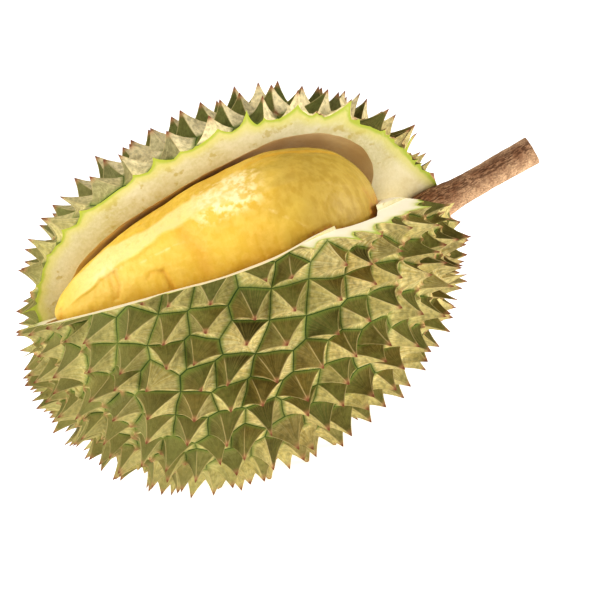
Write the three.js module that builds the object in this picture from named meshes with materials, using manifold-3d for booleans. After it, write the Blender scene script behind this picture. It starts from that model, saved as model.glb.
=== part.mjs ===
// An opened durian lying on a surface: the spiny husk, with a wedge of its rind cut away, the
// lobe of pulp in the locule behind it, and the cut stem.
// Millimetres, +Z up. +X points to the stem end, which lies higher, and the cut opens to -Y and up.
// Shapes are worked out about the fruit's centre, and the group is shifted to stand on z = 0.

import * as THREE from 'three';
import { ConvexHull } from 'three/addons/math/ConvexHull.js';
import { mergeVertices } from 'three/addons/utils/BufferGeometryUtils.js';
import Module from 'manifold-3d';

const wasm = await Module();
wasm.setup();

// ------------------------------------------------------------------ driving dimensions, mm and degrees

const PITCH = 15; // the fruit's axis rises this much towards the stem
const REST_HEIGHT = 108; // the fruit's centre above the surface

// The rind's skin at the valleys between the spines. Fullness 2 is an ellipse, and more is blunter.
const SKIN = { halfLength: 122.5, radius: 93.2, fullness: 2.48, taper: -0.04 };

const SPINE_COUNT = 560;
const SPINE_HEIGHT = 14.5;
const SPINE_HEIGHT_SPREAD = 0.3; // the share by which heights vary
const SPINE_SCATTER = 0.5; // how far a spine strays from its even place, in spacings
const SPINE_CROWDING = 0.5; // 0 spaces spines evenly, and more crowds them at both ends
const SPINE_WAIST = { inset: 0.5, height: 0.3 }; // the hollow flank's middle, as shares of the spine
const HOLLOW_FROM = -0.1; // flanks are hollow from where the skin faces this much to the opening
const SPINE_LEAN = 0.45; // the lean away from the fruit's middle, at its ends
const SPINE_DROOP = 0.45; // the lean to the ground, on the front above the fruit's middle
const CORNER_MERGE = 2; // corners of the net of valleys nearer than this are one

const REST_POINT = [-14, 3]; // middle of the spines that carry the fruit, from its centre
const REST_RADIUS = 44;
const TIP_CRUSH = 2; // what the weight takes off the tips that carry it

// The cut: two flat faces that meet in a line behind the fruit's middle, and open to the front.
const CUT_POINT = [-1, 15.2, 9.4]; // a point on the line, from the fruit's centre
const CUT_LINE = { azimuth: 4.8, elevation: -1.8 };
const LOWER_FACE = 15.1; // each face's rise to the front
const UPPER_FACE = 66.3;
// Towards the stem the lower face swells by this height, from the first two places along the cut's
// line to the last two.
const SWELL = { height: 13, start: -10, full: 85, ease: 92, end: 126 };
// There its outer strip bends down to the skin, outside a line between two points. Each point is so
// far along the cut's line, so far out from it and so far above the flat face.
const BEND = { from: [20, 115, 4.3], to: [110, 50, 12.5], drop: 19.5 };

// The locule and the lobe of pulp in it: eggs, deeper to the front than to the back.
const LOCULE = {
  centre: [-4, -17.6, 28.3],
  azimuth: -1,
  elevation: 8,
  halfLength: 108,
  halfWidth: 40.7,
  frontDepth: 56,
  backDepth: 44,
  fullness: 2.95,
  taper: 0.23,
};
// The locule ends towards the stem at a flat wall, this far from the cut's point and slanted so that
// it ends sooner at the front.
const LOCULE_STOP = { distance: 94.2, slant: 15 };
const PULP = {
  centre: [-8.9, -16.7, 28.6],
  azimuth: -4.4,
  elevation: 6.3,
  halfLength: 97.5,
  halfWidth: 37.8,
  frontDepth: 46,
  backDepth: 40,
  fullness: 2.32,
  taper: 0.38,
};
const OPENING_RISE = 40.7; // the way the locule faces, above the horizontal

const STEM = {
  start: [112.5, 14.8, 6.7], // its hidden root, from the fruit's centre
  end: [185.9, 14.2, 24.9],
  radius: 8,
  rootFlare: 2.6, // added to the radius at the husk
  endFlare: 0.6,
};
const COLLAR_RADIUS = 19; // bare skin round the stem
const NECK = { height: 9, inner: 10, outer: 36 }; // the skin is drawn up along the stem
const FIT_GAP = 0.3;

const COLOURS = { husk: 0x8a8148, pulp: 0xf4c64a, stem: 0xa5785a };

// ------------------------------------------------------------------ directions, random draws and eggs

const X = new THREE.Vector3(1, 0, 0);
const Z = new THREE.Vector3(0, 0, 1);
const vector = (list) => new THREE.Vector3(...list);

function direction({ azimuth, elevation }) {
  const a = THREE.MathUtils.degToRad(azimuth);
  const e = THREE.MathUtils.degToRad(elevation);
  return new THREE.Vector3(Math.cos(a) * Math.cos(e), Math.sin(a) * Math.cos(e), Math.sin(e));
}

// The square frame that holds an axis and, as nearly as can be, a way to the front.
function frameAlong(axis, front) {
  const side = axis.clone().cross(front).normalize();
  return { axis, front: side.clone().cross(axis), side };
}

// A draw in 0..1 that depends only on its two whole numbers.
function draw(index, stream) {
  const wave = Math.sin(index * 12.9898 + stream * 78.233) * 43758.5453;
  return wave - Math.floor(wave);
}

// An egg is an outline turned about its axis, with its own depth to each side.
function makeEgg(size, centre, frame) {
  return { ...size, centre, frame };
}

// The egg's point for a unit vector whose x runs along the axis, y to the front and z to the side.
function eggPoint(egg, unit) {
  const along = THREE.MathUtils.clamp(unit.x, -1, 1);
  const round = Math.hypot(unit.y, unit.z);
  const swell = Math.sqrt(Math.max(0, 1 - Math.abs(along) ** egg.fullness)) * (1 + egg.taper * along);
  const spread = round > 1e-6 ? swell / round : 0;
  const depth = unit.y > 0 ? egg.frontDepth : egg.backDepth;
  return egg.centre.clone()
    .addScaledVector(egg.frame.axis, egg.halfLength * along)
    .addScaledVector(egg.frame.front, depth * spread * unit.y)
    .addScaledVector(egg.frame.side, egg.halfWidth * spread * unit.z);
}

const fruitAxis = direction({ azimuth: 0, elevation: PITCH });
const skin = makeEgg(
  { ...SKIN, halfWidth: SKIN.radius, frontDepth: SKIN.radius, backDepth: SKIN.radius },
  new THREE.Vector3(),
  frameAlong(fruitAxis, Z),
);

function skinNormal(unit) {
  return new THREE.Vector3()
    .addScaledVector(skin.frame.axis, unit.x / SKIN.halfLength)
    .addScaledVector(skin.frame.front, unit.y / SKIN.radius)
    .addScaledVector(skin.frame.side, unit.z / SKIN.radius)
    .normalize();
}

const stemStart = vector(STEM.start);
const stemAxis = vector(STEM.end).sub(stemStart).normalize();

function distanceFromStem(point) {
  const offset = point.clone().sub(stemStart);
  const along = Math.max(0, offset.dot(stemAxis));
  return offset.addScaledVector(stemAxis, -along).length();
}

function skinPoint(unit) {
  const point = eggPoint(skin, unit);
  const draws = 1 - THREE.MathUtils.smoothstep(distanceFromStem(point), NECK.inner, NECK.outer);
  return point.addScaledVector(stemAxis, NECK.height * draws);
}

const cutLine = direction(CUT_LINE);
const cutFront = cutLine.clone().cross(Z).normalize();
const cutUp = cutFront.clone().cross(cutLine);

function inCut(rise) {
  const angle = THREE.MathUtils.degToRad(rise);
  return cutFront.clone().multiplyScalar(Math.cos(angle)).addScaledVector(cutUp, Math.sin(angle));
}

function eggInCut(size) {
  return makeEgg(size, vector(size.centre), frameAlong(direction(size), inCut(OPENING_RISE)));
}

// ------------------------------------------------------------------ solids for cutting and joining

function toSolid(geometry) {
  geometry.deleteAttribute('uv');
  geometry.deleteAttribute('normal');
  const merged = mergeVertices(geometry, 1e-4);
  const vertProperties = new Float32Array(merged.attributes.position.array);
  const triVerts = new Uint32Array(merged.index.array);
  return new wasm.Manifold(new wasm.Mesh({ numProp: 3, vertProperties, triVerts }));
}

function toGeometry(solid) {
  const mesh = solid.getMesh();
  const geometry = new THREE.BufferGeometry();
  geometry.setAttribute('position', new THREE.BufferAttribute(mesh.vertProperties, 3));
  geometry.setIndex(new THREE.BufferAttribute(mesh.triVerts, 1));
  return geometry;
}

function eggGeometry(egg, around, along) {
  const ball = new THREE.SphereGeometry(1, around, along).rotateZ(-Math.PI / 2);
  const place = ball.attributes.position;
  const unit = new THREE.Vector3();
  for (let i = 0; i < place.count; i += 1) {
    unit.fromBufferAttribute(place, i);
    place.setXYZ(i, ...eggPoint(egg, unit));
  }
  return ball;
}

function swell(along) {
  const up = THREE.MathUtils.smoothstep(along, SWELL.start, SWELL.full);
  const down = THREE.MathUtils.smoothstep(along, SWELL.ease, SWELL.end);
  return SWELL.height * (up - down);
}

function wedgeGeometry() {
  const reach = 300;
  const slope = Math.tan(THREE.MathUtils.degToRad(UPPER_FACE - LOWER_FACE));
  const section = new THREE.Shape([
    new THREE.Vector2(0, 0),
    new THREE.Vector2(reach, 0),
    new THREE.Vector2(reach, reach * slope),
  ]);
  const wedge = new THREE.ExtrudeGeometry(section, { depth: 2 * reach, steps: 60, bevelEnabled: false });
  wedge.translate(0, 0, -reach);
  const place = wedge.attributes.position;
  for (let i = 0; i < place.count; i += 1) {
    if (place.getY(i) === 0) {
      const lift = swell(-place.getZ(i));
      place.setY(i, lift);
      place.setX(i, Math.max(place.getX(i), lift / slope));
    }
  }
  const across = inCut(LOWER_FACE);
  const upward = inCut(LOWER_FACE + 90);
  wedge.applyMatrix4(new THREE.Matrix4().makeBasis(across, upward, across.clone().cross(upward)));
  return wedge.translate(...CUT_POINT);
}

function bendGeometry() {
  const size = 300;
  const level = inCut(LOWER_FACE + 90);
  const place = ([along, out, above]) => vector(CUT_POINT)
    .addScaledVector(cutLine, along)
    .addScaledVector(inCut(LOWER_FACE), out)
    .addScaledVector(level, above);
  const start = place(BEND.from);
  const along = place(BEND.to).sub(start).normalize();
  const outward = along.clone().cross(level).normalize();
  outward.applyAxisAngle(along, THREE.MathUtils.degToRad(BEND.drop));
  const block = new THREE.BoxGeometry(size, size, size).translate(size / 2, size / 2, size / 2);
  block.applyMatrix4(new THREE.Matrix4().makeBasis(outward, along, outward.clone().cross(along)));
  return block.translate(...start);
}

function loculeSolid() {
  const slant = THREE.MathUtils.degToRad(LOCULE_STOP.slant);
  const inward = cutLine.clone().multiplyScalar(-Math.cos(slant)).addScaledVector(cutFront, -Math.sin(slant));
  const stop = vector(CUT_POINT).dot(inward) - LOCULE_STOP.distance;
  return toSolid(eggGeometry(eggInCut(LOCULE), 40, 24)).trimByPlane([...inward], stop);
}

function groundGeometry() {
  const size = 500;
  return new THREE.BoxGeometry(size, size, size).translate(0, 0, -REST_HEIGHT - size / 2);
}

// ------------------------------------------------------------------ the spiny skin

// Even places on the unit ball by the golden angle, crowded to its ends and scattered.
function spinePlaces() {
  const goldenAngle = Math.PI * (3 - Math.sqrt(5));
  const spacing = Math.sqrt((4 * Math.PI) / SPINE_COUNT);
  return Array.from({ length: SPINE_COUNT }, (_, i) => {
    const share = (i + 0.5) / SPINE_COUNT;
    const even = 1 - 2 * share;
    const along = even + SPINE_CROWDING * (Math.cos(Math.PI * share) - even);
    const scatter = spacing * SPINE_SCATTER;
    const x = THREE.MathUtils.clamp(along + scatter * (draw(i, 1) - 0.5), -0.998, 0.998);
    const round = Math.sqrt(1 - x * x);
    const turn = i * goldenAngle + (scatter * (draw(i, 2) - 0.5)) / round;
    return new THREE.Vector3(x, round * Math.cos(turn), round * Math.sin(turn));
  });
}

// The valleys are the borders between the places' nearest regions. Their corners lie in the
// middle of each face of the places' hull, and corners that nearly touch are one.
function valleyNet(places) {
  const hull = new ConvexHull().setFromPoints(places);
  const corners = [];
  const rings = new Map(places.map((place) => [place, new Set()]));
  for (const face of hull.faces) {
    const point = skinPoint(face.normal);
    let corner = corners.find((known) => known.point.distanceTo(point) < CORNER_MERGE);
    if (!corner) {
      corner = { unit: face.normal.clone(), point };
      corners.push(corner);
    }
    let edge = face.edge;
    do {
      rings.get(edge.vertex.point).add(corner);
      edge = edge.next;
    } while (edge !== face.edge);
  }
  return places.map((place) => {
    const { axis, front, side } = frameAlong(place, Math.abs(place.x) < 0.9 ? X : Z);
    const angle = ({ unit }) => Math.atan2(unit.dot(side), unit.dot(front));
    const ring = [...rings.get(place)].sort((a, b) => angle(a) - angle(b));
    return { place, axis, ring: ring.map((corner) => corner.point) };
  });
}

// Where a spine's tip is, given its place and its draw's number.
function spineTip(place, foot, index) {
  const bare = THREE.MathUtils.smoothstep(distanceFromStem(foot), COLLAR_RADIUS * 0.75, COLLAR_RADIUS * 1.3);
  const height = SPINE_HEIGHT * (1 + SPINE_HEIGHT_SPREAD * (draw(index, 3) - 0.5)) * (0.08 + 0.92 * bare);
  const heading = skinNormal(place);
  const above = THREE.MathUtils.smoothstep(heading.z, -0.15, 0.4);
  const droop = SPINE_DROOP * above * THREE.MathUtils.smoothstep(-heading.y, -0.2, 0.6);
  heading.addScaledVector(fruitAxis, SPINE_LEAN * place.x ** 3).addScaledVector(Z, -droop).normalize();
  const tip = foot.clone().addScaledVector(heading, height);
  const fromRest = Math.hypot(tip.x - REST_POINT[0], tip.y - REST_POINT[1]);
  if (tip.z < 0 && fromRest < REST_RADIUS) {
    tip.z = -REST_HEIGHT - TIP_CRUSH;
  }
  return tip;
}

// Each spine is a pyramid on its own region. The flanks are hollow, except behind the fruit.
function spinyGeometry() {
  const opening = inCut(OPENING_RISE);
  const triangles = [];
  valleyNet(spinePlaces()).forEach(({ place, ring }, index) => {
    const foot = skinPoint(place);
    const tip = spineTip(place, foot, index);
    const hollow = skinNormal(place).dot(opening) > HOLLOW_FROM;
    const rise = tip.clone().sub(foot).multiplyScalar(SPINE_WAIST.height);
    const waist = ring.map((corner) => corner.clone().lerp(foot, SPINE_WAIST.inset).add(rise));
    ring.forEach((corner, k) => {
      const next = (k + 1) % ring.length;
      if (hollow) {
        triangles.push(corner, ring[next], waist[next]);
        triangles.push(corner, waist[next], waist[k]);
        triangles.push(waist[k], waist[next], tip);
      } else {
        triangles.push(corner, ring[next], tip);
      }
    });
  });
  return new THREE.BufferGeometry().setFromPoints(triangles);
}

// ------------------------------------------------------------------ the pieces

function stemGeometry(grow, reach) {
  const length = vector(STEM.end).sub(stemStart).length();
  const outline = [
    [0, -grow],
    [STEM.radius + STEM.rootFlare + grow, -grow],
    [STEM.radius + STEM.rootFlare + grow, 0.16 * length],
    [STEM.radius + 0.3 * STEM.rootFlare + grow, 0.34 * length],
    [STEM.radius + grow, 0.6 * length],
    [STEM.radius + STEM.endFlare + grow, length + reach],
    [0, length + reach],
  ];
  const bark = new THREE.LatheGeometry(outline.map((point) => new THREE.Vector2(...point)), 20);
  const turn = new THREE.Quaternion().setFromUnitVectors(new THREE.Vector3(0, 1, 0), stemAxis);
  return bark.applyQuaternion(turn).translate(...STEM.start);
}

function huskGeometry() {
  const husk = toSolid(spinyGeometry())
    .subtract(toSolid(wedgeGeometry()))
    .subtract(toSolid(bendGeometry()))
    .subtract(loculeSolid())
    .subtract(toSolid(stemGeometry(FIT_GAP, 40)))
    .subtract(toSolid(groundGeometry()));
  return toGeometry(husk);
}

function piece(name, geometry, roughness) {
  const material = new THREE.MeshStandardMaterial({ color: COLOURS[name], roughness, metalness: 0 });
  const mesh = new THREE.Mesh(geometry, material);
  mesh.name = name;
  return mesh;
}

const group = new THREE.Group();
group.add(piece('husk', huskGeometry(), 0.75));
group.add(piece('pulp', toGeometry(toSolid(eggGeometry(eggInCut(PULP), 40, 24))), 0.45));
group.add(piece('stem', toGeometry(toSolid(stemGeometry(0, 0))), 0.9));
const middle = new THREE.Box3().setFromObject(group).getCenter(new THREE.Vector3());
group.position.set(-middle.x, -middle.y, REST_HEIGHT);

export default group;
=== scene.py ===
"""An opened durian on a pale floor: the spiny husk with a wedge of its rind cut away, the lobe of
pulp in the locule behind it, and the cut stem.

Meshes are worked out in millimetres about the fruit's centre, and made in metres in the frame."""

import math

import bmesh
import bpy
import numpy as np
from mathutils import Matrix, Vector, noise
from mathutils.bvhtree import BVHTree


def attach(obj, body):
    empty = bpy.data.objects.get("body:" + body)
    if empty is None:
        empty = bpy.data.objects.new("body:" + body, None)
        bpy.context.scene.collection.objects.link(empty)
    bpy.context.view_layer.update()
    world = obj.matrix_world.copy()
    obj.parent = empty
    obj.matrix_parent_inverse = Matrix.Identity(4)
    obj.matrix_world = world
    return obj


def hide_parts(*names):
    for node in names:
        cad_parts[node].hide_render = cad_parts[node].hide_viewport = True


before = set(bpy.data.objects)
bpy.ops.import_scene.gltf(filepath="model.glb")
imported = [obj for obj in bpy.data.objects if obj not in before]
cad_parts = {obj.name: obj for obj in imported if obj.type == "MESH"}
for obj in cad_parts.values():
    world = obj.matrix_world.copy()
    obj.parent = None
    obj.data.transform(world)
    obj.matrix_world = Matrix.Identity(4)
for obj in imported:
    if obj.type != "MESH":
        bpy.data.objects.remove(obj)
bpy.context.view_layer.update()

# ---------------------------------------------------------------- camera
# A short telephoto a little above the fruit. It is rolled on its stand, so that the stem points
# up to the right.

FRUIT_CENTRE = np.array([-25.622, -0.264, 108.0])  # in the frame, in millimetres
CAMERA_LENS = 85
CAMERA_DISTANCE = 824.5
CAMERA_RISE = 20  # degrees above the floor
CAMERA_ROLL = -16.7
AIM_RIGHT_OF_CENTRE = 34.0
AIM_BELOW_CENTRE = 7.4

turn = Matrix.Rotation(math.radians(90 - CAMERA_RISE), 3, "X") @ Matrix.Rotation(
    math.radians(CAMERA_ROLL), 3, "Z"
)
aim = Vector(FRUIT_CENTRE) + turn @ Vector((AIM_RIGHT_OF_CENTRE, -AIM_BELOW_CENTRE, 0))
camera = bpy.data.objects.new("camera", bpy.data.cameras.new("camera"))
camera.data.lens = CAMERA_LENS
camera.matrix_world = Matrix.Translation(
    (aim + turn @ Vector((0, 0, CAMERA_DISTANCE))) / 1000
) @ turn.to_4x4()
bpy.context.scene.collection.objects.link(camera)
bpy.context.scene.camera = camera

# ---------------------------------------------------------------- husk: the net of valleys
# The rind is one grown shell. Its skin is an egg drawn up along the stem, and covered with pyramid
# spines that meet in narrow valleys: spread by the golden angle, crowded to the ends and scattered.

FRUIT_PITCH = 15  # degrees that the fruit's axis rises to the stem
SKIN_HALF_LENGTH, SKIN_RADIUS = 122.5, 93.2
SPINE_COUNT = 560
SPINE_SCATTER = 0.5
SPINE_CROWDING = 0.5
LAST_SPINE = 0.998  # along the half length
CORNER_MERGE = 2
STEM_START = np.array([112.5, 14.8, 6.7])
STEM_END = np.array([185.9, 14.2, 24.9])
NECK_HEIGHT, NECK_INNER, NECK_OUTER = 9, 10, 36


def unit(vectors):
    return vectors / np.linalg.norm(vectors, axis=-1, keepdims=True)


def heading(azimuth, elevation):
    a, e = math.radians(azimuth), math.radians(elevation)
    return np.array([math.cos(a) * math.cos(e), math.sin(a) * math.cos(e), math.sin(e)])


def smooth_step(value, low, high):
    share = np.clip((value - low) / (high - low), 0, 1)
    return share * share * (3 - 2 * share)


def draw(index, stream):
    """A draw in 0..1 that depends only on its two whole numbers."""
    wave = np.sin(index * 12.9898 + stream * 78.233) * 43758.5453
    return wave - np.floor(wave)


class Egg:
    """An outline turned about an axis, with its own depth to the front, back and sides."""

    def __init__(self, centre, axis, front, half_length, half_width, depths, fullness, taper):
        self.centre, self.axis = np.array(centre, float), axis
        self.side = unit(np.cross(axis, front))
        self.front = np.cross(self.side, axis)
        self.half_length, self.half_width, self.depths = half_length, half_width, depths
        self.fullness, self.taper = fullness, taper

    def points(self, units):
        """Surface points for unit vectors whose x is along, y to the front and z to the side."""
        along = np.clip(units[..., 0], -1, 1)
        girth = np.hypot(units[..., 1], units[..., 2])
        swell = np.sqrt(np.maximum(0, 1 - np.abs(along) ** self.fullness))
        spread = swell * (1 + self.taper * along) / np.maximum(girth, 1e-9)
        depth = np.where(units[..., 1] > 0, *self.depths)
        return (
            self.centre
            + (self.half_length * along)[..., None] * self.axis
            + (depth * spread * units[..., 1])[..., None] * self.front
            + (self.half_width * spread * units[..., 2])[..., None] * self.side
        )


fruit_axis = heading(0, FRUIT_PITCH)
stem_axis = unit(STEM_END - STEM_START)
skin = Egg(
    (0, 0, 0),
    fruit_axis,
    (0, 0, 1),
    SKIN_HALF_LENGTH,
    SKIN_RADIUS,
    (SKIN_RADIUS, SKIN_RADIUS),
    fullness=2.48,
    taper=-0.04,
)


def from_stem(points):
    """Each point's distance from the stem's centre line, which goes on past its end."""
    offset = points - STEM_START
    offset = offset - np.maximum(0, offset @ stem_axis)[..., None] * stem_axis
    return np.linalg.norm(offset, axis=-1)


def skin_points(units):
    points = skin.points(units)
    draws = 1 - smooth_step(from_stem(points), NECK_INNER, NECK_OUTER)
    return points + (NECK_HEIGHT * draws)[..., None] * stem_axis


number = np.arange(SPINE_COUNT)
share = (number + 0.5) / SPINE_COUNT
stray = math.sqrt(4 * math.pi / SPINE_COUNT) * SPINE_SCATTER
even = 1 - 2 * share
along = even + SPINE_CROWDING * (np.cos(math.pi * share) - even)
along = np.clip(along + stray * (draw(number, 1) - 0.5), -LAST_SPINE, LAST_SPINE)
girth = np.sqrt(1 - along**2)
spin = number * math.pi * (3 - math.sqrt(5)) + stray * (draw(number, 2) - 0.5) / girth
places = np.stack([along, girth * np.cos(spin), girth * np.sin(spin)], axis=-1)

# The places' hull has a face for each corner of the net: its normal points at the corner.
hull = bmesh.new()
for place in places:
    hull.verts.new(place)
hull.verts.index_update()
bmesh.ops.convex_hull(hull, input=hull.verts, use_existing_faces=False)
hull.normal_update()
corner_units, corners, rings = [], [], [set() for _ in places]
for face in hull.faces:
    point = skin_points(np.array(face.normal))
    near = [k for k, known in enumerate(corners) if np.linalg.norm(known - point) < CORNER_MERGE]
    if not near:
        corner_units.append(np.array(face.normal))
        corners.append(point)
    for vertex in face.verts:
        rings[vertex.index].add(near[0] if near else len(corners) - 1)
hull.free()
corner_units = np.array(corner_units)


def ring_in_order(index):
    """The numbers of a spine's corners, in order round it."""
    place = places[index]
    side = unit(np.cross(place, (1, 0, 0) if abs(place[0]) < 0.9 else (0, 0, 1)))
    front = np.cross(side, place)
    turned = {k: math.atan2(corner_units[k] @ side, corner_units[k] @ front) for k in rings[index]}
    return sorted(turned, key=turned.get)


# ---------------------------------------------------------------- husk: the spines
# Each spine is a pyramid of hard cork on its own region of the net, with hollow flanks between
# three to five sharp ribs, and a dry point. It leans away from the fruit's middle and droops.
# At both ends of the fruit small spines stand between them, where three valleys would meet.

COLLAR_RADIUS = 19  # bare skin round the stem
SPINE_HEIGHT = 14.5
SPINE_HEIGHT_SPREAD = 0.3
COLLAR_SPINE = 0.08  # the share of its height that a spine keeps at the collar
SPINE_LEAN = 0.45
SPINE_DROOP = 0.45
REST_POINT = np.array([-14, 3])
REST_RADIUS = 44  # the low spines inside it carry the fruit
TIP_CRUSH = 2  # how far they reach below the ground, before they are cut flat
FLANK_COLUMNS = 6  # mesh columns between two corners
FLANK_LEVELS = (0, 0.1, 0.28, 0.5, 0.75)
FLANK_HOLLOW = 0.34  # what a flank's middle loses against its ribs
FLANK_SPREAD = 0.55  # the share of a spine's height that rises late, so that its foot spreads
RIB_APART = 62  # degrees between two ribs, at least
RIB_SHARE = 0.85  # how flat a flank is between its ribs, above its foot
VALLEY_BOW, VALLEY_WAVE = 1.3, 13  # how far the valleys wander from straight, and over what length
# Small spines stand from one share of the half length on, and are full grown from another.
SMALL_SPINE = {"height": 6.5, "radius": 2.8, "from": 0.45, "full": 0.75}
NO_SMALL_SPINE, ALL_SMALL_SPINES = 19, 25  # from the stem
PAINTED_LIGHT_WAY = unit(np.array([-0.15, -0.35, -0.92]))  # painted light: flanks that face this way, lit from below, are painted pale
TOP_PALE = unit(np.array([0.75, -0.3, -0.35]))  # and on top of the fruit, painted light on those that face this way


def wander(points, wavelength, height):
    """A smooth shift for each point by its place. It is drawn afresh in each run."""
    return np.array([noise.noise_vector(Vector(p / wavelength)) for p in points]) * height


def rise_profile(level):
    return (1 - FLANK_SPREAD) * level + FLANK_SPREAD * level**2.2


def skin_normals(units):
    return unit(
        units[:, :1] / SKIN_HALF_LENGTH * skin.axis
        + units[:, 1:2] / SKIN_RADIUS * skin.front
        + units[:, 2:] / SKIN_RADIUS * skin.side
    )


def lean_at(units):
    return SPINE_LEAN * units[:, :1] ** 3 * fruit_axis


feet, normals = skin_points(places), skin_normals(places)
corner_ways = unit(skin_normals(corner_units) + lean_at(corner_units))
grown = smooth_step(from_stem(feet), COLLAR_RADIUS * 0.75, COLLAR_RADIUS * 1.3)
heights = SPINE_HEIGHT * (1 + SPINE_HEIGHT_SPREAD * (draw(number, 3) - 0.5))
heights = heights * (COLLAR_SPINE + (1 - COLLAR_SPINE) * grown)
droop = smooth_step(normals[:, 2], -0.15, 0.4) * smooth_step(-normals[:, 1], -0.2, 0.6)
leaning = unit(normals + lean_at(places) - SPINE_DROOP * droop[:, None] * np.array([0, 0, 1]))
tips = feet + heights[:, None] * leaning
carries = (tips[:, 2] < 0) & (np.linalg.norm(tips[:, :2] - REST_POINT, axis=1) < REST_RADIUS)
tips[carries, 2] = -FRUIT_CENTRE[2] - TIP_CRUSH
upper = smooth_step(normals[:, 2] + 0.8 * normals[:, 1], 0.15, 0.8)
stemward = smooth_step(places[:, 0], 0.2, 0.8)

vertices, faces = [], []
marks = {"valley": [], "rib": [], "tip": [], "grain": []}
face_marks = {"tint": [], "pale": []}
valley_vertices = {}


def add_vertex(point, valley, rib, tip, grain):
    """Adds a vertex with its distances from its valley, rib and tip, and its place along the flank."""
    vertices.append(point)
    for name, value in zip(marks, (valley, rib, tip, grain)):
        marks[name].append(value)
    return len(vertices) - 1


def small_spines(points, ring):
    """How the small spines on a ring's corners lift each point, and how far each is from their tips."""
    lift, from_tip = np.zeros(points.shape), np.full(len(points), 99.0)
    for k in ring:
        size = smooth_step(abs(corner_units[k][0]), SMALL_SPINE["from"], SMALL_SPINE["full"])
        size *= 0.5 + 0.5 * draw(k, 6)
        size *= smooth_step(from_stem(corners[k]), NO_SMALL_SPINE, ALL_SMALL_SPINES)
        gap = np.linalg.norm(points - corners[k], axis=1)
        height = SMALL_SPINE["height"] * size * np.maximum(0, 1 - gap / SMALL_SPINE["radius"]) ** 1.4
        lift += height[:, None] * corner_ways[k]
        small_tip = corners[k] + SMALL_SPINE["height"] * size * corner_ways[k]
        if size > 0.3:
            from_tip = np.minimum(from_tip, np.linalg.norm(points + lift - small_tip, axis=1) + 1)
    return lift, from_tip


def valley_round(ring):
    """Keys and places of points along a spine's straight valleys. The spine beyond has the same keys."""
    keys, points = [], []
    for a, b in zip(ring, ring[1:] + ring[:1]):
        for column in range(FLANK_COLUMNS):
            back = FLANK_COLUMNS - column
            keys.append((a,) if column == 0 else (a, b, column) if a < b else (b, a, back))
            points.append(corners[a] + (corners[b] - corners[a]) * column / FLANK_COLUMNS)
    return keys, np.array(points)


def choose_ribs(ring, foot, normal):
    """Places in the ring of the corners that carry ribs: the farthest from the foot, well apart."""
    arms = np.array([corners[k] - foot for k in ring])
    arms -= (arms @ normal)[:, None] * normal
    ways = unit(arms)
    chosen = []
    for k in np.argsort(-np.linalg.norm(arms, axis=1)):
        if all(ways[k] @ ways[c] < math.cos(math.radians(RIB_APART)) for c in chosen):
            chosen.append(int(k))
    return sorted(chosen)


def flank_tone(index, which, middle):
    """A flank's own tint, and how pale it is painted for the way it faces, as light falls on it."""
    facing = unit(unit(middle - feet[index]) + 0.6 * leaning[index])
    lit_from_below = smooth_step(facing @ PAINTED_LIGHT_WAY + 0.3 * stemward[index], 0.0, 0.5)
    side_shading_and_wear = upper[index] * smooth_step(facing @ TOP_PALE, -0.35, 0.1)
    return draw(index * 7 + which, 5), max(lit_from_below, side_shading_and_wear)


for index in range(SPINE_COUNT):
    ring = ring_in_order(index)
    foot, tip = feet[index], tips[index]
    keys, straight = valley_round(ring)
    bowed = straight + wander(straight, VALLEY_WAVE, VALLEY_BOW)
    count = len(keys)
    steps = np.linalg.norm(np.roll(straight, -1, axis=0) - straight, axis=1)
    chord, across, width = np.array(bowed), np.zeros(count), np.ones(count)
    tints, pales = np.zeros(count), np.zeros(count)
    ribs = choose_ribs(ring, foot, normals[index])
    for which, first in enumerate(ribs):
        last = ribs[(which + 1) % len(ribs)]
        columns = ((last - first) % len(ring) or len(ring)) * FLANK_COLUMNS
        flank = (first * FLANK_COLUMNS + np.arange(columns + 1)) % count
        own, start, end = flank[:-1], bowed[flank[0]], bowed[flank[-1]]
        walked = np.concatenate([[0], np.cumsum(steps[own])])
        way = walked / walked[-1]
        chord[own] = start + way[:-1, None] * (end - start)
        across[own], width[own] = way[:-1], walked[-1]
        tints[own], pales[own] = flank_tone(index, which, bowed[flank].mean(0))
    slant_length = np.linalg.norm(tip - bowed, axis=1)
    hollow = 4 * across * (1 - across)
    from_rib = np.minimum(across, 1 - across) * width
    rows = []
    for level in FLANK_LEVELS:
        rise = rise_profile(level) * (1 - FLANK_HOLLOW * hollow * (1 - level))
        base = bowed + (chord - bowed) * RIB_SHARE * smooth_step(level, 0, 0.4)
        points = base + (foot - base) * level + rise[:, None] * (tip - foot)
        lift, from_tip = small_spines(points, ring)
        points = points + lift
        row = []
        for k, point in enumerate(points):
            known = valley_vertices.get(keys[k]) if level == 0 else None
            if known is None:
                known = add_vertex(
                    point,
                    level * slant_length[k] + np.linalg.norm(lift[k]),
                    from_rib[k] * (1 - level),
                    min(np.linalg.norm(tip - point), from_tip[k]),
                    straight[k],
                )
                if level == 0:
                    valley_vertices[keys[k]] = known
            row.append(known)
        rows.append(row)
    peak = add_vertex(tip, float(slant_length.mean()), 0, 0, foot)
    for low, high in zip(rows, rows[1:]):
        for k in range(count):
            n = (k + 1) % count
            faces += [(low[k], low[n], high[n]), (low[k], high[n], high[k])]
        face_marks["tint"] += list(np.repeat(tints, 2))
        face_marks["pale"] += list(np.repeat(pales, 2))
    faces += [(rows[-1][k], rows[-1][(k + 1) % count], peak) for k in range(count)]
    face_marks["tint"] += list(tints)
    face_marks["pale"] += list(pales)


def to_frame(points):
    return (np.asarray(points) + FRUIT_CENTRE) / 1000


def make_object(name, points, polygons, material=None):
    mesh = bpy.data.meshes.new(name)
    mesh.from_pydata(to_frame(points).tolist(), [], polygons)
    mesh.update()
    made = bpy.data.objects.new(name, mesh)
    bpy.context.scene.collection.objects.link(made)
    if material:
        mesh.materials.append(material)
    return made


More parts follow.
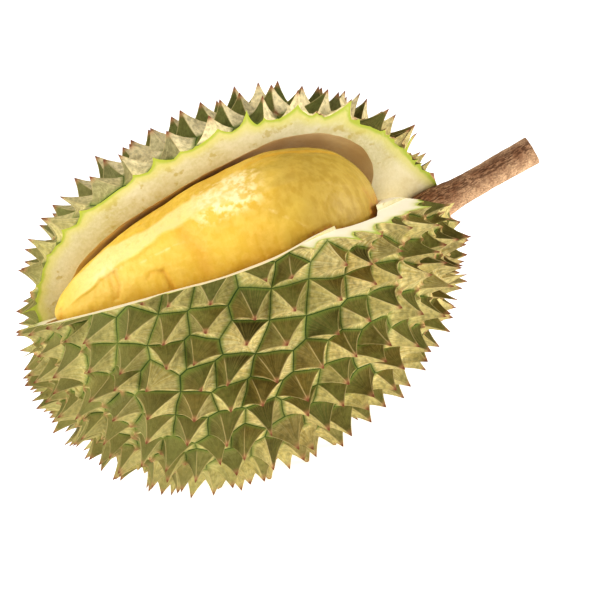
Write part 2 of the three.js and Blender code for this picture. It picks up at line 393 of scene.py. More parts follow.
def add_mark(mesh, name, values, domain="POINT"):
    """Keeps a number or a vector for each point or face, for the finishes to read."""
    values = np.asarray(values, np.float32)
    kind, key = ("FLOAT", "value") if values.ndim == 1 else ("FLOAT_VECTOR", "vector")
    mesh.attributes.new(name, kind, domain).data.foreach_set(key, values.ravel())


# ---------------------------------------------------------------- finishes shared by the pieces
# Everything here grew, so no surface is one even colour. Mottle is soft cloudy variation, and
# Streaks the lines of fibre that run along a grown surface.


def colour(red, green, blue):
    """A linear colour for three 0..255 values as a paint chart gives them."""
    steps = [c / 255 for c in (red, green, blue)]
    return [c / 12.92 if c < 0.04045 else ((c + 0.055) / 1.055) ** 2.4 for c in steps] + [1]


def node(tree, kind, inputs=None, **settings):
    """Adds a shader node. An input is a number, a colour or the socket that feeds it."""
    made = tree.nodes.new("ShaderNode" + kind)
    for name, value in settings.items():
        setattr(made, name, value)
    for name, value in (inputs or {}).items():
        if isinstance(value, bpy.types.NodeSocket):
            tree.links.new(value, made.inputs[name])
        else:
            made.inputs[name].default_value = value
    return made


def own_place(tree):
    return node(tree, "TexCoord").outputs["Object"]


def reading(tree, name, output="Fac"):
    return node(tree, "Attribute", attribute_name=name).outputs[output]


def span(tree, value, low, high, start=0.0, end=1.0):
    """A smooth step: start below low and end above high."""
    inputs = {"Value": value, "From Min": low, "From Max": high, "To Min": start, "To Max": end}
    return node(tree, "MapRange", inputs, interpolation_type="SMOOTHSTEP").outputs["Result"]


def fade(tree, value, full, gone):
    return span(tree, value, full, gone, 1.0, 0.0)


def calc(tree, operation, first, second):
    return node(tree, "Math", {0: first, 1: second}, operation=operation).outputs[0]


def weighted(tree, first, second, weight):
    """The first value, plus the second by its weight."""
    return calc(tree, "ADD", first, calc(tree, "MULTIPLY", second, weight))


def blend(tree, share, first, second):
    return node(tree, "Mix", {0: share, 6: first, 7: second}, data_type="RGBA").outputs[2]


def paint(tree, tone, *coats):
    """Lays coats over a tone in turn. Each is a mask, how strongly it covers there, and a colour."""
    for mask, strength, over in coats:
        tone = blend(tree, calc(tree, "MULTIPLY", mask, strength), tone, over)
    return tone


def start_material(name, roughness, specular):
    material = bpy.data.materials.new(name)
    material.use_nodes = True
    shader = material.node_tree.nodes["Principled BSDF"]
    shader.inputs["Roughness"].default_value = roughness
    shader.inputs["Specular IOR Level"].default_value = specular
    return material, material.node_tree, shader


def finish_material(tree, shader, tone, height, distance, strength):
    """Gives a shader its colour, and relief of a depth in metres."""
    bump = node(tree, "Bump", {"Height": height, "Distance": distance, "Strength": strength})
    tree.links.new(tone, shader.inputs["Base Color"])
    tree.links.new(bump.outputs["Normal"], shader.inputs["Normal"])


def start_group(name, inputs, outputs):
    group = bpy.data.node_groups.new(name, "ShaderNodeTree")
    for label, kind, default in inputs:
        socket = group.interface.new_socket(label, in_out="INPUT", socket_type="NodeSocket" + kind)
        if default is not None:
            socket.default_value = default
    for label, kind in outputs:
        group.interface.new_socket(label, in_out="OUTPUT", socket_type="NodeSocket" + kind)
    return group, group.nodes.new("NodeGroupInput"), group.nodes.new("NodeGroupOutput")


mottle, given, gives = start_group(
    "Mottle",
    [("Place", "Vector", None), ("Scale", "Float", 100.0), ("Low", "Float", 0.35), ("High", "Float", 0.65)],
    [("Mask", "Float"), ("Height", "Float")],
)
cloud = node(
    mottle, "TexNoise", {"Vector": given.outputs["Place"], "Scale": given.outputs["Scale"], "Detail": 4}
)
mask = span(mottle, cloud.outputs["Fac"], given.outputs["Low"], given.outputs["High"])
mottle.links.new(mask, gives.inputs["Mask"])
mottle.links.new(cloud.outputs["Fac"], gives.inputs["Height"])

streaks, given, gives = start_group(
    "Streaks",
    [("Place", "Vector", None), ("Stretch", "Vector", (1.0, 1.0, 1.0)), ("Scale", "Float", 100.0)],
    [("Mask", "Float"), ("Height", "Float")],
)
pulled = node(
    streaks, "VectorMath", {0: given.outputs["Place"], 1: given.outputs["Stretch"]}, operation="MULTIPLY"
)
lines = node(
    streaks, "TexNoise", {"Vector": pulled.outputs[0], "Scale": given.outputs["Scale"], "Detail": 3}
)
streaks.links.new(span(streaks, lines.outputs["Fac"], 0.4, 0.62), gives.inputs["Mask"])
streaks.links.new(lines.outputs["Fac"], gives.inputs["Height"])


def place_group(tree, group, **inputs):
    made = node(tree, "Group", node_tree=group)
    for name, value in inputs.items():
        if isinstance(value, bpy.types.NodeSocket):
            tree.links.new(value, made.inputs[name])
        else:
            made.inputs[name].default_value = value
    return made.outputs


# ---------------------------------------------------------------- husk: skin, cut rind and locule wall
# The skin is olive cork, green in the valleys and brown at the points. Flanks are painted pale where
# light falls on them, the dark valley lines are partly painted shade and the cream rib lines partly a
# painted highlight. Cut rind is cream and firm with a lime line under the skin, and the locule's wall
# is tan.

CORK = {
    "shade": colour(64, 58, 20),
    "brown": colour(118, 98, 42),
    "green": colour(108, 114, 56),
    "fibre": colour(140, 124, 70),
    "lit top olive": colour(104, 112, 62),
    "straw": colour(214, 190, 116),
    "light straw": colour(238, 222, 160),
    "dull straw": colour(196, 186, 112),
    "lit top straw": colour(252, 234, 188),
    "grain": colour(70, 66, 26),
    "blossom end": colour(156, 154, 92),
    "valley side": colour(112, 130, 56),
    "valley": colour(42, 68, 26),
    "rib": colour(220, 196, 140),
    "dry end": colour(186, 134, 96),
    "point": colour(124, 66, 46),
    "collar": colour(214, 164, 130),
}
RIND = {
    "flesh": colour(218, 210, 172),
    "deep flesh": colour(204, 194, 142),
    "fibre": colour(236, 228, 204),
    "stain": colour(194, 176, 108),
    "speck": colour(186, 166, 88),
    "lit_corner": colour(248, 236, 202),
    "strip": colour(254, 244, 218),
    "under skin": colour(216, 210, 118),
    "lime line": colour(176, 190, 66),
}
WALL = {"tan": colour(252, 230, 188), "deep tan": colour(236, 206, 160), "grain": colour(226, 198, 146)}

skin_cork, tree, shader = start_material("skin cork", 0.75, 0.12)
place = own_place(tree)
valley, rib, tip, pale, top = (reading(tree, name) for name in ("valley", "rib", "tip", "pale", "top"))
fine = place_group(tree, mottle, Place=place, Scale=420.0, Low=0.35, High=0.7)
broad = place_group(tree, mottle, Place=place, Scale=26.0, Low=0.35, High=0.65)
fibre = place_group(tree, streaks, Place=reading(tree, "grain", "Vector"), Scale=1.5)
olive = blend(tree, reading(tree, "tint"), CORK["shade"], CORK["brown"])
olive = paint(
    tree,
    olive,
    (broad["Mask"], 0.7, CORK["green"]),
    (fibre["Mask"], 0.4, CORK["fibre"]),
    (top, 0.5, CORK["lit top olive"]),
)
straw = blend(tree, fibre["Mask"], CORK["straw"], CORK["light straw"])
straw = paint(tree, straw, (broad["Mask"], 0.5, CORK["dull straw"]), (top, 0.75, CORK["lit top straw"]))
above_foot = span(tree, valley, 1.5, 6)
# Rib lines: the ribs' own paler cork, and partly a painted highlight along them.
rib_line = calc(tree, "MULTIPLY", fade(tree, rib, 0.1, 0.6), above_foot)
# Painted light: the pale mask turns lit flanks to straw, and the valley lines are fainter there.
less_on_pale = span(tree, pale, 0, 1, 1.0, 0.55)
# Valley lines: the valleys' own dark green, darkened further as painted shade in them.
valley_line = calc(tree, "MULTIPLY", fade(tree, valley, 0.2, 0.9), less_on_pale)
tone = paint(
    tree,
    blend(tree, pale, olive, straw),
    (fine["Mask"], 0.4, CORK["grain"]),
    (reading(tree, "blossom"), 0.45, CORK["blossom end"]),
    (fade(tree, valley, 0.6, 3.6), 0.65, CORK["valley side"]),
    (rib_line, 0.4, CORK["rib"]),
    (fade(tree, tip, 1.5, 5.5), 0.7, CORK["dry end"]),
    (fade(tree, tip, 1.0, 3.0), 0.85, CORK["point"]),
    (valley_line, 0.95, CORK["valley"]),
    (reading(tree, "collar"), 1.0, CORK["collar"]),
)
grainy = weighted(tree, fine["Height"], fibre["Height"], 0.7)
finish_material(tree, shader, tone, grainy, 0.0009, 0.8)

cut_rind, tree, shader = start_material("cut rind", 0.6, 0.25)
place = own_place(tree)
# Painted light: faces that face up are painted whiter, as the light from above falls on them.
strip = reading(tree, "strip")
soft = place_group(tree, mottle, Place=place, Scale=40.0, Low=0.35, High=0.65)
fibre = place_group(tree, mottle, Place=place, Scale=500.0, Low=0.35, High=0.7)
stains = place_group(tree, mottle, Place=place, Scale=75.0, Low=0.52, High=0.7)
specks = place_group(tree, mottle, Place=place, Scale=150.0, Low=0.6, High=0.68)
uneven_depth = weighted(tree, reading(tree, "depth"), soft["Height"], -3.0)
line_depth = weighted(tree, uneven_depth, strip, 0.6)
yellow_depth = weighted(tree, line_depth, strip, 2.5)
tone = paint(
    tree,
    blend(tree, soft["Mask"], RIND["flesh"], RIND["deep flesh"]),
    (fibre["Mask"], 0.35, RIND["fibre"]),
    (stains["Mask"], 0.4, RIND["stain"]),
    (specks["Mask"], 0.6, RIND["speck"]),
    (reading(tree, "lit_corner"), 0.6, RIND["lit_corner"]),
    (strip, 0.9, RIND["strip"]),
    (fade(tree, yellow_depth, 0.5, 6.5), 0.7, RIND["under skin"]),
    (fade(tree, line_depth, -0.9, 1.0), 0.9, RIND["lime line"]),
)
finish_material(tree, shader, tone, fibre["Height"], 0.0004, 0.5)

locule_wall, tree, shader = start_material("locule wall", 0.6, 0.25)
place = own_place(tree)
soft = place_group(tree, mottle, Place=place, Scale=45.0, Low=0.3, High=0.7)
fine = place_group(tree, mottle, Place=place, Scale=300.0, Low=0.3, High=0.7)
tone = blend(tree, soft["Mask"], WALL["tan"], WALL["deep tan"])
tone = paint(tree, tone, (fine["Mask"], 0.3, WALL["grain"]))
finish_material(tree, shader, tone, fine["Height"], 0.0003, 0.5)

husk = make_object("husk_shell", vertices, faces, skin_cork)
uncut = BVHTree.FromPolygons(to_frame(vertices).tolist(), faces)
for name, values in face_marks.items():
    add_mark(husk.data, name, values, "FACE")

# ---------------------------------------------------------------- husk: the cuts
# A knife took a wedge out of the rind: two faces that meet in a line behind the locule. Toward
# the stem the lower face swells up, and its outer strip bends down to the skin.

CUT_POINT = np.array([-1, 15.2, 9.4])
LOWER_FACE, UPPER_FACE = 15.1, 66.3  # each face's rise to the front, in degrees
SWELL_HEIGHT = 13
SWELL_START, SWELL_FULL, SWELL_EASE, SWELL_END = -10, 85, 92, 126
BEND_FROM, BEND_TO = (20, 115, 4.3), (110, 50, 12.5)  # along the line, out, and above the face
BEND_DROP = 19.5
OPENING_RISE = 40.7
LIT_CORNER = np.array([107, 4, 20])  # painted light: the cut rind is painted whitest about here, in the corner that the swell shades
LIT_CORNER_INNER, LIT_CORNER_OUTER = 12, 36
LOCULE_STOP, LOCULE_STOP_SLANT = 94.2, 15  # the locule's flat wall towards the stem
CUT_CELL = 2  # mesh cells on the cut faces
CUT_REACH = 300
CUT_WAVE, CUT_WAVE_HEIGHT = 24, 0.7
FIT_GAP = 0.3

cut_line = heading(4.8, -1.8)
cut_front = unit(np.cross(cut_line, (0, 0, 1)))
cut_up = np.cross(cut_front, cut_line)


def in_cut(rise):
    """The way out of the cut that rises to the front by this many degrees."""
    angle = math.radians(rise)
    return cut_front * math.cos(angle) + cut_up * math.sin(angle)


def loft(name, sections, material=None, marks=None):
    """A closed solid through equal rings of points, capped at both ends, with values at each point."""
    count, ring = sections.shape[:2]
    start = np.arange(count - 1)[:, None] * ring
    low = start + np.arange(ring)
    high = start + (np.arange(ring) + 1) % ring
    quads = np.stack([low, high, high + ring, low + ring], axis=-1).reshape(-1, 4).tolist()
    caps = [list(range(ring))[::-1], list(range((count - 1) * ring, count * ring))]
    made = make_object(name, sections.reshape(-1, 3), quads + caps, material)
    for mark, values in (marks or {}).items():
        add_mark(made.data, mark, values.reshape(count * ring, *values.shape[2:]))
    solid = bmesh.new()
    solid.from_mesh(made.data)
    bmesh.ops.remove_doubles(solid, verts=solid.verts, dist=1e-6)
    bmesh.ops.recalc_face_normals(solid, faces=solid.faces)
    solid.to_mesh(made.data)
    solid.free()
    return made


def egg_grid(around, rings):
    """Places along and round an egg, and their unit vectors."""
    along = -np.cos(np.linspace(0, math.pi, rings))
    turn = np.arange(around) / around * 2 * math.pi
    along, turn = np.meshgrid(along, turn, indexing="ij")
    girth = np.sqrt(1 - along**2)
    units = np.stack([along, girth * np.cos(turn), girth * np.sin(turn)], axis=-1)
    units[[0, -1], :, 1:] = 0
    return along, turn, units


def cut_away(solid, cutter):
    step = solid.modifiers.new(cutter.name, "BOOLEAN")
    step.operation, step.solver, step.object = "DIFFERENCE", "MANIFOLD", cutter
    step.material_mode = "TRANSFER"
    shape = solid.evaluated_get(bpy.context.evaluated_depsgraph_get())
    mesh = bpy.data.meshes.new_from_object(shape)
    solid.modifiers.clear()
    solid.data = mesh
    bpy.data.objects.remove(cutter)


def wavy(points, wavelength, height):
    flat = points.reshape(-1, 3)
    return points + wander(flat, wavelength, height).reshape(points.shape)


def past_stop(points):
    """How far each point is past the locule's flat wall."""
    return (points - CUT_POINT) @ stop_way - LOCULE_STOP


slope = math.tan(math.radians(UPPER_FACE - LOWER_FACE))
face_out, face_up = in_cut(LOWER_FACE), in_cut(LOWER_FACE + 90)
stations = np.arange(-150, 151, CUT_CELL)
swell = SWELL_HEIGHT * (
    smooth_step(stations, SWELL_START, SWELL_FULL) - smooth_step(stations, SWELL_EASE, SWELL_END)
)
out = np.append(np.arange(0, 120, CUT_CELL), CUT_REACH)
hinge = swell / slope
lower_x = hinge[:, None] + out * (1 - hinge[:, None] / CUT_REACH)
upper_x = lower_x[:, :0:-1]
section_x = np.concatenate([lower_x, upper_x], axis=1)
section_y = np.concatenate([np.repeat(swell[:, None], len(out), 1), upper_x * slope], axis=1)
sections = (
    CUT_POINT
    + stations[:, None, None] * cut_line
    + section_x[..., None] * face_out
    + section_y[..., None] * face_up
)
cut_away(husk, loft("wedge", wavy(sections, CUT_WAVE, CUT_WAVE_HEIGHT), cut_rind))

bend_start, bend_end = (
    CUT_POINT + along * cut_line + out * face_out + above * face_up
    for along, out, above in (BEND_FROM, BEND_TO)
)
bend_line = unit(bend_end - bend_start)
level_out = Vector(unit(np.cross(bend_line, face_up)))
outward = np.array(Matrix.Rotation(math.radians(BEND_DROP), 3, Vector(bend_line)) @ level_out)
upward = np.cross(outward, bend_line)
out = np.append(np.arange(0, 70, CUT_CELL), CUT_REACH)
base = out[:, None] * outward
profile = np.concatenate([base, [CUT_REACH * (outward + upward), CUT_REACH * upward]])
stations = np.append(np.arange(0, 200, CUT_CELL), CUT_REACH)
sections = bend_start + stations[:, None, None] * bend_line + profile
cut_away(husk, loft("bend", wavy(sections, CUT_WAVE, CUT_WAVE_HEIGHT), cut_rind))

locule = Egg(
    (-4, -17.6, 28.3),
    heading(-1, 8),
    in_cut(OPENING_RISE),
    108,
    40.7,
    (56, 44),
    fullness=2.95,
    taper=0.23,
)
_, _, units = egg_grid(96, 90)
walls = wavy(wavy(locule.points(units), 26, 1.1), 6, 0.35)
slant = math.radians(LOCULE_STOP_SLANT)
stop_way = cut_line * math.cos(slant) + cut_front * math.sin(slant)
walls = walls - np.maximum(0, past_stop(walls))[..., None] * stop_way
cut_away(husk, loft("locule", walls, locule_wall))

# ---------------------------------------------------------------- husk: the stem's socket and the ground
# The stem grew out of a round socket in the rind. The husk's weight has blunted the spines that it
# lies on, and the knife's faces take their colours from how deep they are under the skin, with
# painted light on those that face up and in the corner by the stem.

STEM_RADIUS = 8
STEM_ROOT_FLARE, STEM_END_FLARE = 2.6, 0.6
STEM_SIDES = 72
SOCKET_RINGS, SOCKET_REACH = 24, 40  # past the stem's end
GROUND_HALF, GROUND_DEPTH = 300, 100
SQUARE = ((-1, -1), (1, -1), (1, 1), (-1, 1))

floor_height = -FRUIT_CENTRE[2]
stem_length = float(np.linalg.norm(STEM_END - STEM_START))
stem_side = unit(np.cross(stem_axis, (0, 0, 1)))
stem_up = np.cross(stem_side, stem_axis)


def stem_radius(along):
    """The bare stalk's radius at a share of its length."""
    stops = [0, 0.16, 0.34, 0.6, 1]
    flares = [STEM_ROOT_FLARE, STEM_ROOT_FLARE, 0.3 * STEM_ROOT_FLARE, 0, STEM_END_FLARE]
    return STEM_RADIUS + np.interp(along, stops, flares)


def stem_rings(along, radius):
    turn = np.arange(STEM_SIDES) / STEM_SIDES * 2 * math.pi
    around = np.cos(turn)[:, None] * stem_side + np.sin(turn)[:, None] * stem_up
    return STEM_START + along[:, None, None] * stem_axis + radius[..., None] * around


def square_at(half, height):
    return np.array([(x * half, y * half, height) for x, y in SQUARE], float)


def corner_shares(triangles, points):
    """How much each corner of its triangle counts at each point."""
    a, b, c = (triangles[:, k] for k in range(3))
    v0, v1, v2 = b - a, c - a, points - a
    d00, d01, d11 = ((p * q).sum(1) for p, q in ((v0, v0), (v0, v1), (v1, v1)))
    d20, d21 = (v2 * v0).sum(1), (v2 * v1).sum(1)
    scale = np.maximum(d00 * d11 - d01 * d01, 1e-18)
    second, third = (d11 * d20 - d01 * d21) / scale, (d00 * d21 - d01 * d20) / scale
    return np.clip(np.stack([1 - second - third, second, third], axis=1), 0, 1)


along = np.linspace(0, stem_length + SOCKET_REACH, SOCKET_RINGS)
socket = stem_rings(along, stem_radius(along / stem_length)[:, None] + FIT_GAP)
cut_away(husk, loft("stem socket", socket, cut_rind))
ground_heights = (floor_height - GROUND_DEPTH, floor_height)
ground = np.array([square_at(GROUND_HALF, height) for height in ground_heights])
cut_away(husk, loft("ground", ground, skin_cork))

# Cutting lost the skin's marks, so each point takes them from the nearest place on the uncut skin.
mesh = husk.data
points = np.zeros(len(mesh.vertices) * 3)
mesh.vertices.foreach_get("co", points)
points = points.reshape(-1, 3)
found = [uncut.find_nearest(Vector(p)) for p in points]
triangles = np.array([faces[hit[2]] for hit in found])
shares = corner_shares(to_frame(vertices)[triangles], np.array([hit[0] for hit in found]))
for name, values in marks.items():
    add_mark(mesh, name, np.einsum("ij,ij...->i...", shares, np.array(values, float)[triangles]))
points = points * 1000 - FRUIT_CENTRE
from_lit_corner = np.linalg.norm(points - LIT_CORNER, axis=1)
add_mark(mesh, "depth", np.array([hit[3] for hit in found]) * 1000)
add_mark(mesh, "blossom", smooth_step(-points @ fruit_axis, 10, 100))
# Painted light: the top and back of the fruit are painted lighter.
add_mark(mesh, "top", smooth_step(points @ np.array([0, 0.5, 0.85]), 45, 80))
# Painted light: the cut rind whitens towards the corner by the stem.
add_mark(mesh, "lit_corner", 1 - smooth_step(from_lit_corner, LIT_CORNER_INNER, LIT_CORNER_OUTER))
add_mark(mesh, "collar", 1 - smooth_step(from_stem(points), 13, 19))
face_normals = np.zeros(len(mesh.polygons) * 3)
mesh.polygons.foreach_get("normal", face_normals)
# Painted light: marks the faces that face up, to be painted whiter.
add_mark(mesh, "strip", smooth_step(face_normals[2::3], 0.2, 0.6), "FACE")
mesh.shade_smooth()
mesh.set_sharp_from_angle(angle=math.radians(30))
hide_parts("husk")
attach(husk, "root")

# ---------------------------------------------------------------- stem
# A woody stalk with rough grey-brown bark, dark along its upper side: partly worn, partly painted
# shade. It grew out of the rind with a swollen root, and was cut square at its end.

WORN_AND_SHADED_SIDE, WORN_AND_SHADED_SPREAD = 40, 42  # degrees up from the front, where the bark is dark: worn, and painted shade on the upper side
STEM_RINGS = 110
END_EDGE = 0.3  # length of the cut end's worn edge
END_WEAR = 0.8  # how far it is worn in
BARK = {
    "light": colour(238, 196, 154),
    "wear_and_shade": colour(142, 98, 68),
    "thread": colour(76, 50, 32),
    "grain": colour(104, 70, 50),
}


def bell(distance, spread):
    return np.exp(-((distance / spread) ** 2))


bark, tree, shader = start_material("bark", 0.8, 0.15)
place = own_place(tree)
side_shading_and_wear = reading(tree, "side_shading_and_wear")
threads = place_group(
    tree, streaks, Place=reading(tree, "bark", "Vector"), Stretch=(0.25, 1.0, 1.0), Scale=1.2
)
patches = place_group(tree, mottle, Place=place, Scale=130.0, Low=0.38, High=0.62)
fine = place_group(tree, mottle, Place=place, Scale=900.0, Low=0.35, High=0.65)
# The upper side's dark bark: partly wear, partly painted shade.
wear_and_shade = weighted(tree, calc(tree, "MULTIPLY", side_shading_and_wear, 0.6), patches["Mask"], 0.35)
tone = paint(
    tree,
    blend(tree, wear_and_shade, BARK["light"], BARK["wear_and_shade"]),
    (calc(tree, "MULTIPLY", threads["Mask"], side_shading_and_wear), 0.85, BARK["thread"]),
    (fine["Mask"], 0.45, BARK["grain"]),
)
finish_material(tree, shader, tone, weighted(tree, threads["Height"], fine["Height"], 0.5), 0.0014, 0.9)

edge = [stem_length - END_EDGE, stem_length]
along = np.concatenate([np.linspace(0, stem_length - 2 * END_EDGE, STEM_RINGS), edge])
radius = stem_radius(along / stem_length) - np.where(along == stem_length, END_WEAR, 0)
stalk = stem_rings(along, np.repeat(radius[:, None], STEM_SIDES, 1))
stalk = wavy(wavy(stalk, 20, 0.5), 4, 0.25)
stalk = np.concatenate([stalk, stalk[-1:] * 0.5 + STEM_END * 0.5])
offset = stalk - STEM_START
around = np.degrees(np.arctan2(offset @ stem_up, offset @ stem_side))
worn_root = smooth_step(around, -15, 30) * (1 - smooth_step(offset @ stem_axis, 22, 48))
stem_marks = {
    "bark": offset @ np.stack([stem_axis, stem_side, stem_up], axis=1),
    "side_shading_and_wear": np.maximum(bell(around - WORN_AND_SHADED_SIDE, WORN_AND_SHADED_SPREAD), worn_root),
}
stem = loft("stem_stalk", stalk, bark, stem_marks)
stem.data.shade_smooth()
stem.data.set_sharp_from_angle(angle=math.radians(40))
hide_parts("stem")
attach(stem, "root")

# ---------------------------------------------------------------- pulp
# One lobe of soft golden flesh round its seeds, in a thin skin. A long ridge runs down its front,
# with a pale band above it, partly the skin's paler colour and partly a painted highlight, and the
# skin is creased across and torn at its lower edge. The lobe's far end from the stem is painted
# brighter as light, and its stem end duller as shade.

PULP_HALF_LENGTH, PULP_HALF_WIDTH = 97.5, 37.8
PULP_AROUND, PULP_RINGS = 240, 210
RIDGE_HEIGHT, RIDGE_SPREAD = 2.6, 15  # millimetres, and degrees round the lobe
HOLLOW_BELOW_RIDGE = 1.1
LAYER_HEIGHT, LAYER_FOLD = 0.9, 2.2
SIDE_BULGE, SIDE_BULGE_AT, SIDE_BULGE_SPREAD = 2.2, 65, 30
END_BULGE, END_BULGE_AT, END_BULGE_SPREAD = 4.0, 98, 34
# Lines on the lobe run from point to point: a share of its half length towards the stem, and
# degrees from the middle of its front to its lower side.
RIDGE = (
    (-0.9, 14),
    (-0.65, 6),
    (-0.5, 1),
    (-0.3, -1),
    (-0.1, -4),
    (0.15, -7),
    (0.3, -1),
    (0.6, -2),
    (0.8, 3),
    (0.9, 10),
)
BAND_TOP = (
    (-0.9, -30),
    (-0.55, -40),
    (-0.4, -27),
    (-0.25, -21),
    (-0.1, -26),
    (0.15, -20),
    (0.3, -32),
    (0.6, -20),
)
LAYER_EDGE = ((0.3, -30), (0.5, -44), (0.7, -40), (0.85, -50))
TORN_EDGE = ((0.6, 43), (0.7, 40), (0.8, 50))
CREASES = (
    # line, half width and depth in millimetres
    (((-0.5, 5), (-0.5, 20), (-0.55, 35)), 1.5, 0.9),
    (((-0.54, 5), (-0.54, 20), (-0.58, 35)), 1.0, 0.6),
    (((-0.23, 25), (-0.21, 45)), 1.4, 1.6),
    (((-0.23, 25), (-0.3, 22), (-0.34, 26)), 1.2, 0.5),
    (((-0.05, 0), (0, 20), (0, 35)), 4.5, 0.8),
    (((-0.93, 5), (-0.95, 45)), 1.6, 0.8),
    (((-0.37, -45), (-0.29, -36)), 1.0, 0.9),
    (TORN_EDGE, 1.2, 0.5),
)
PALE_LINES = (
    ((0.35, 5), (0.45, 11), (0.6, 34)),
    ((0.15, 2), (0.25, 6), (0.35, 5)),
    ((-0.4, 9), (-0.05, 9)),
)
CRUMBLY_SPOT = ((-0.6, -3), (-0.5, -3))
PULP = {
    "flesh": colour(221, 182, 64),
    "deep flesh": colour(211, 166, 53),
    "lemon": colour(228, 196, 84),
    "dull": colour(164, 134, 46),
    "band": colour(240, 212, 138),
    "wrinkle": colour(246, 216, 118),
    "thread": colour(250, 220, 120),
    "crumb": colour(246, 224, 168),
    "fold": colour(214, 152, 42),
    "film": colour(160, 104, 62),
}

pulp_flesh, tree, shader = start_material("pulp flesh", 0.5, 0.35)
shader.inputs["Subsurface Weight"].default_value = 0.12
shader.inputs["Subsurface Scale"].default_value = 0.004
shader.inputs["Subsurface Radius"].default_value = (1.0, 0.7, 0.3)
place = own_place(tree)
lemon, dull, band, crumbs, fold, film = (
    reading(tree, name) for name in ("lemon", "dull", "band", "crumbs", "fold", "film")
)
soft = place_group(tree, mottle, Place=place, Scale=30.0, Low=0.35, High=0.65)
crumb = place_group(tree, mottle, Place=place, Scale=240.0, Low=0.4, High=0.64)
fine = place_group(tree, mottle, Place=place, Scale=520.0, Low=0.35, High=0.7)
threads = place_group(tree, streaks, Place=place, Stretch=(1.0, 1.0, 0.25), Scale=230.0)
broken_band = calc(tree, "MULTIPLY", band, span(tree, crumb["Height"], 0.2, 0.5, 0.6, 1.0))
wrinkled = calc(tree, "MULTIPLY", crumb["Mask"], span(tree, dull, 0, 1, 0.2, 0.04))
tone = paint(
    tree,
    blend(tree, soft["Mask"], PULP["flesh"], PULP["deep flesh"]),
    (lemon, 0.5, PULP["lemon"]),
    (dull, 0.9, PULP["dull"]),
    (broken_band, 1.0, PULP["band"]),
    (wrinkled, 1.0, PULP["wrinkle"]),
    (threads["Mask"], 0.12, PULP["thread"]),
    (calc(tree, "MULTIPLY", crumbs, crumb["Mask"]), 1.0, PULP["crumb"]),
    (fold, 0.5, PULP["fold"]),
    (calc(tree, "MULTIPLY", film, fine["Mask"]), 1.0, PULP["film"]),
)
finish_material(tree, shader, tone, weighted(tree, crumb["Height"], fine["Height"], 0.5), 0.0009, 0.5)

lobe = Egg(
    (-8.9, -16.7, 28.6),
    heading(-4.4, 6.3),
    in_cut(OPENING_RISE),
    PULP_HALF_LENGTH,
    PULP_HALF_WIDTH,
    (46, 40),
    fullness=2.32,
    taper=0.38,
)
along, turn, units = egg_grid(PULP_AROUND, PULP_RINGS)
degrees = np.degrees((turn + math.pi) % (2 * math.pi) - math.pi)
unrolled = np.stack([along * PULP_HALF_LENGTH, np.radians(degrees) * PULP_HALF_WIDTH], axis=-1)


def line_distance(line):
    """Each place's distance from a line on the lobe, in millimetres over its unrolled skin."""
    nearest = np.full(along.shape, np.inf)
    ends = [np.array([a * PULP_HALF_LENGTH, math.radians(d) * PULP_HALF_WIDTH]) for a, d in line]
    for start, end in zip(ends, ends[1:]):
        way = end - start
        share = np.clip(((unrolled - start) @ way) / (way @ way), 0, 1)
        gap = np.linalg.norm(unrolled - start - share[..., None] * way, axis=-1)
        nearest = np.minimum(nearest, gap)
    return nearest


def degrees_below(line):
    """How far round the lobe each place is below a line."""
    return degrees - np.interp(along, *zip(*line))


points = lobe.points(units)
strays = np.array([noise.noise(Vector(p / 9)) for p in points.reshape(-1, 3)]).reshape(along.shape)
below_ridge = degrees_below(RIDGE) + 3 * strays
below_top = degrees_below(BAND_TOP) + 6 * strays
below_layer = degrees_below(LAYER_EDGE) + 2 * strays

ridge_share = smooth_step(along, -0.95, -0.6) * (1 - 0.85 * smooth_step(along, 0.3, 0.7))
lift = RIDGE_HEIGHT * np.exp(-np.abs(below_ridge) / RIDGE_SPREAD) * ridge_share
hollow = smooth_step(below_ridge, 0, 3) * (1 - smooth_step(below_ridge, 3, 26))
lift -= HOLLOW_BELOW_RIDGE * hollow * ridge_share
layered = smooth_step(along, 0.28, 0.4) * (1 - smooth_step(along, 0.86, 0.93))
layer = (1 - smooth_step(below_layer, -1.2, 1.2)) * smooth_step(below_layer, -50, -8)
lift += LAYER_HEIGHT * layer * layered
lift += SIDE_BULGE * smooth_step(along, 0.5, 0.85) * bell(degrees - SIDE_BULGE_AT, SIDE_BULGE_SPREAD)
lift += END_BULGE * smooth_step(along, 0.8, 0.94) * bell(degrees - END_BULGE_AT, END_BULGE_SPREAD)
crumbly = smooth_step(along, -0.02, 0.15) * (1 - smooth_step(along, 0.35, 0.5))
crumbly = crumbly * smooth_step(degrees, -38, -24) * (1 - smooth_step(degrees, -2, 10))
crumbly = np.maximum(crumbly, 0.6 * bell(line_distance(CRUMBLY_SPOT), 5))
folds = 0.8 * bell(below_layer, LAYER_FOLD) * layered
for line, width, deep in CREASES:
    share = bell(line_distance(line) + 0.8 * strays, width)
    lift -= deep * share
    folds = np.maximum(folds, share * min(1, deep))
for line in PALE_LINES:
    share = bell(line_distance(line), 0.6) * (0.5 + strays)
    lift += 0.15 * share
    crumbly = np.maximum(crumbly, 0.45 * share)

arms = points - lobe.centre
outward = unit(arms - (arms @ lobe.axis)[..., None] * lobe.axis + 1e-9)
tapered = np.minimum(1, 2.5 * np.sqrt(1 - along**2))
shaped = points + (lift * tapered)[..., None] * outward
shaped[[0, -1]] = points[[0, -1]]
shaped = wavy(wavy(shaped, 22, 0.8), 7, 0.3)
shaped = shaped - np.maximum(0, past_stop(shaped) + FIT_GAP)[..., None] * stop_way

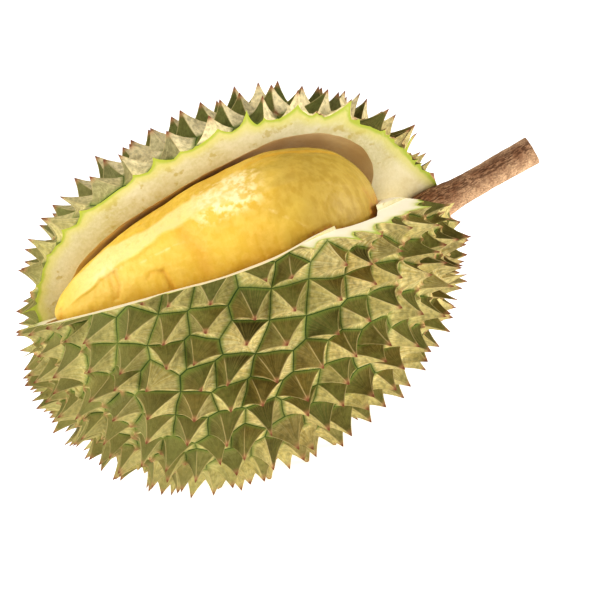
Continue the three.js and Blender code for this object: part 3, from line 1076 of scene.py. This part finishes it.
torn = smooth_step(along, 0.56, 0.64) * (1 - smooth_step(along, 0.78, 0.84))
torn = torn * smooth_step(degrees_below(TORN_EDGE), -1, 3)
end_gap = -past_stop(shaped) - FIT_GAP
end_bits = 0.85 * (1 - smooth_step(end_gap + 3 * strays, 1, 4.5)) * smooth_step(degrees, -10, 30)
banded = ridge_share * (1 - 0.85 * smooth_step(along + 0.1 * strays, 0.15, 0.42))
lobe_marks = {
    # Pale band: the skin's own paler colour, partly a painted highlight where it faces up.
    "band": smooth_step(below_top, -3, 3) * (1 - smooth_step(below_ridge, -2, 1.5)) * banded,
    # Painted light and shade: lemon towards the far end from the stem, dull towards the stem.
    "lemon": smooth_step(-along + 0.2 * strays, 0.2, 0.6),
    "dull": smooth_step(along + 0.1 * strays, 0.25, 0.75),
    "crumbs": crumbly,
    "fold": np.maximum(folds, end_bits),
    "film": np.maximum(np.maximum(0.7 * torn, bell(line_distance(TORN_EDGE), 1.6)), end_bits),
}
pulp = loft("pulp_lobe", shaped, pulp_flesh, lobe_marks)
pulp.data.shade_smooth()
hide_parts("pulp")
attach(pulp, "root")

# ---------------------------------------------------------------- floor and light
# A white floor that glows a little, so that it lights the fruit from below, two soft boxes low at
# the sides and one overhead. The world is the room's dim white walls.

FLOOR_HALF = 9000
FLOOR_GREY = 0.85
FLOOR_GLOW = 0.65
WALLS_GLOW = 0.38
LAMPS_AIM = Vector((0, 0, 0.11))
SOFTBOXES = (
    # name, place and size in metres, and power in watts
    ("left softbox", (-1.2, -0.5, 0.4), (0.5, 0.5), 8.5),
    ("right softbox", (1.2, -0.5, 0.3), (0.5, 0.4), 9),
    ("overhead softbox", (-0.3, -0.5, 1.4), (1.0, 1.0), 8),
)
WHITE = (1, 1, 1, 1)

floor_paint, tree, shader = start_material("floor paint", 0.8, 0.2)
shader.inputs["Base Color"].default_value = (FLOOR_GREY, FLOOR_GREY, FLOOR_GREY, 1)
shader.inputs["Emission Color"].default_value = WHITE
shader.inputs["Emission Strength"].default_value = FLOOR_GLOW
floor = make_object("floor", square_at(FLOOR_HALF, floor_height), [(0, 1, 2, 3)], floor_paint)

for name, spot, size, power in SOFTBOXES:
    lamp = bpy.data.objects.new(name, bpy.data.lights.new(name, "AREA"))
    lamp.data.shape, lamp.data.size, lamp.data.size_y = "RECTANGLE", size[0], size[1]
    lamp.data.energy = power
    lamp.location = spot
    lamp.rotation_mode = "QUATERNION"
    lamp.rotation_quaternion = (LAMPS_AIM - lamp.location).to_track_quat("-Z", "Y")
    bpy.context.scene.collection.objects.link(lamp)

world = bpy.data.worlds.new("studio")
world.use_nodes = True
background = world.node_tree.nodes["Background"]
background.inputs["Color"].default_value = WHITE
background.inputs["Strength"].default_value = WALLS_GLOW
bpy.context.scene.world = world
bpy.context.scene.view_settings.view_transform = "Standard"
bpy.context.scene.view_settings.look = "Medium High Contrast"
